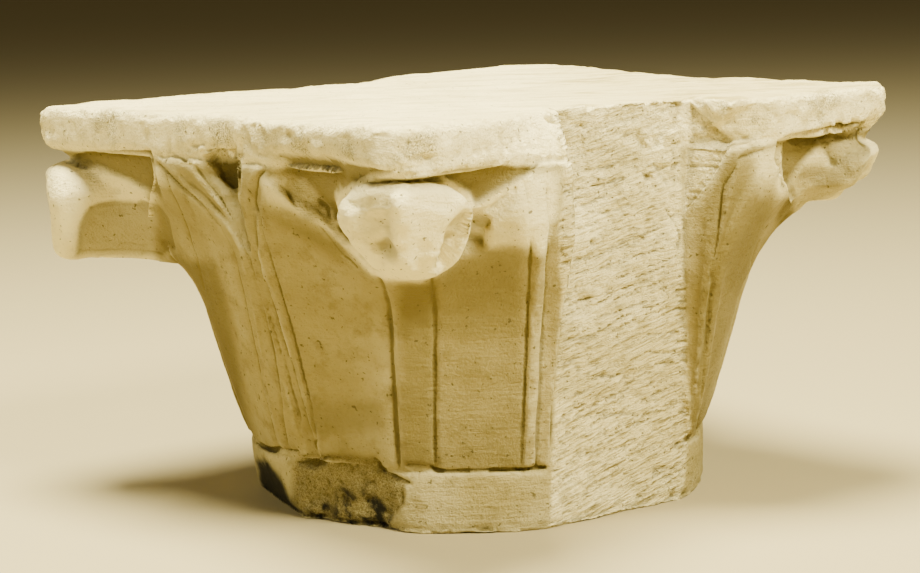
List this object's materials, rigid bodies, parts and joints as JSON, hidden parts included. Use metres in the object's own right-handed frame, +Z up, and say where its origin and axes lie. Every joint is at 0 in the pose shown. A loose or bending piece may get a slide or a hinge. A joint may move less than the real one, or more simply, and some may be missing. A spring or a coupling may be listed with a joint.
{
  "type": "limestone capital",
  "caption": "Weathered limestone crocket capital: round neck band, bell of flat water leaves, corner crockets under a square abacus, and a hacked band down one side.",
  "frame": {"origin": "centre of the round underside, where the capital stands on its shaft", "axes": "+Z up through the bell to the top bed, -Y towards the front corner of the abacus, +X towards the corner with the broken crocket"},
  "size_m": [0.6783, 0.6784, 0.316],
  "materials": {
    "limestone": "matt, weathered and tooled"
  },
  "bodies": {
    "root": {"capital": "limestone"}
  },
  "joints": []
}
